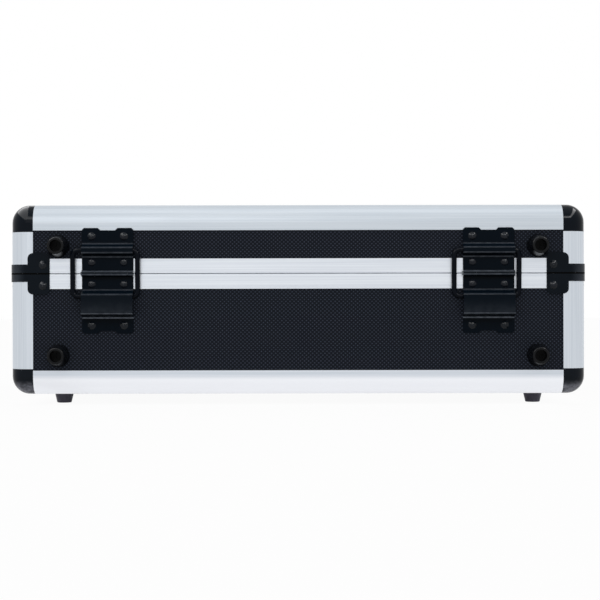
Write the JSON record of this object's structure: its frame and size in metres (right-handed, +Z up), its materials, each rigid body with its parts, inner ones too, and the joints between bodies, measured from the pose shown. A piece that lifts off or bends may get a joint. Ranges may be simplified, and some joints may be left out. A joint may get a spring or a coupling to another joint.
{
  "type": "podcast mixer case",
  "caption": "Hard carrying case for a podcast mixer: aluminium edges, laminate panels, foam lining, stay hinges, draw latches and a folding handle.",
  "frame": {"origin": "on the surface that the closed case stands on, at the middle of its outline", "axes": "+X to the right seen from the front, along the case's length; +Y to the hinged back; +Z up"},
  "size_m": [0.4546, 0.403, 0.1569],
  "materials": {
    "edge_aluminium": "satin",
    "rim_aluminium": "satin",
    "panel_laminate": "satin",
    "cap_plastic": "gloss",
    "black_steel": "satin",
    "wire_steel": "gloss",
    "pin_steel": "satin",
    "foot_rubber": "satin",
    "grip_plastic": "matte",
    "foam": "matte"
  },
  "bodies": {
    "base": {"base_corner_caps": "cap_plastic", "base_foot_screws": "pin_steel", "base_panel_front": "panel_laminate", "base_panel_left": "panel_laminate", "base_panel_rear": "panel_laminate", "base_panel_right": "panel_laminate", "base_posts": "edge_aluminium", "base_rear_feet": "foot_rubber", "base_rim_front": "rim_aluminium", "base_rim_rear": "rim_aluminium", "base_rim_sides": "rim_aluminium", "base_rivets": "black_steel", "base_seam_brackets": "black_steel", "bottom_edge_front": "edge_aluminium", "bottom_edge_left": "edge_aluminium", "bottom_edge_rear": "edge_aluminium", "bottom_edge_right": "edge_aluminium", "bottom_feet": "foot_rubber", "floor_panel": "panel_laminate", "foam_base_pad": "foam", "foam_frame": "foam", "handle_brackets": "black_steel", "hinge_base_leaves": "black_steel", "hinge_pins": "pin_steel", "latch_pivot_pins": "pin_steel", "latch_plates": "black_steel"},
    "lid": {"foam_lid_pad": "foam", "hinge_lid_leaf_left": "black_steel", "hinge_lid_leaf_right": "black_steel", "latch_keepers": "black_steel", "lid_corner_caps": "cap_plastic", "lid_foot_screws": "pin_steel", "lid_panel_front": "panel_laminate", "lid_panel_left": "panel_laminate", "lid_panel_rear": "panel_laminate", "lid_panel_right": "panel_laminate", "lid_posts": "edge_aluminium", "lid_rear_feet": "foot_rubber", "lid_rim_front": "rim_aluminium", "lid_rim_rear": "rim_aluminium", "lid_rim_sides": "rim_aluminium", "lid_rivets": "black_steel", "lid_seam_brackets": "black_steel", "top_edge_front": "edge_aluminium", "top_edge_left": "edge_aluminium", "top_edge_rear": "edge_aluminium", "top_edge_right": "edge_aluminium", "top_panel": "panel_laminate"},
    "stay_left": {"stay_left": "wire_steel"},
    "stay_right": {"stay_right": "wire_steel"},
    "latch_lever_left": {"latch_lever_left": "black_steel", "latch_hook_pin_left": "pin_steel"},
    "latch_lever_right": {"latch_lever_right": "black_steel", "latch_hook_pin_right": "pin_steel"},
    "latch_hook_left": {"latch_hook_left": "black_steel"},
    "latch_hook_right": {"latch_hook_right": "black_steel"},
    "handle": {"handle_bar": "wire_steel", "handle_grip": "grip_plastic"}
  },
  "joints": [
    {"name": "lid_hinge", "type": "hinge", "parent": "base", "child": "lid", "pos_m": [0, 0.1906, 0.1029], "axis": [-1, 0, 0], "range_deg": [0, 90]},
    {"name": "stay_left_swing", "type": "hinge", "parent": "lid", "child": "stay_left", "pos_m": [-0.1467, 0.1913, 0.1211], "axis": [-1, 0, 0], "range_deg": [-58.5, 0]},
    {"name": "stay_right_swing", "type": "hinge", "parent": "lid", "child": "stay_right", "pos_m": [0.1503, 0.1913, 0.1211], "axis": [-1, 0, 0], "range_deg": [-58.5, 0]},
    {"name": "latch_left_lever", "type": "hinge", "parent": "base", "child": "latch_lever_left", "pos_m": [-0.115, -0.1783, 0.0809], "axis": [-1, 0, 0], "range_deg": [-30, 85]},
    {"name": "latch_left_hook", "type": "hinge", "parent": "latch_lever_left", "child": "latch_hook_left", "pos_m": [-0.115, -0.18389, 0.0772], "axis": [-1, 0, 0], "range_deg": [-102, 36]},
    {"name": "latch_right_lever", "type": "hinge", "parent": "base", "child": "latch_lever_right", "pos_m": [0.115, -0.1783, 0.0809], "axis": [-1, 0, 0], "range_deg": [-30, 85]},
    {"name": "latch_right_hook", "type": "hinge", "parent": "latch_lever_right", "child": "latch_hook_right", "pos_m": [0.115, -0.18389, 0.0772], "axis": [-1, 0, 0], "range_deg": [-102, 36]},
    {"name": "handle_swing", "type": "hinge", "parent": "base", "child": "handle", "pos_m": [0, -0.1853, 0.0659], "axis": [-1, 0, 0], "range_deg": [0, 105]}
  ],
  "couplings": [
    {"joint": "stay_left_swing", "follows": "lid_hinge", "ratio": -0.65},
    {"joint": "stay_right_swing", "follows": "lid_hinge", "ratio": -0.65},
    {"joint": "latch_left_hook", "follows": "latch_left_lever", "ratio": -1.2},
    {"joint": "latch_right_hook", "follows": "latch_right_lever", "ratio": -1.2}
  ]
}
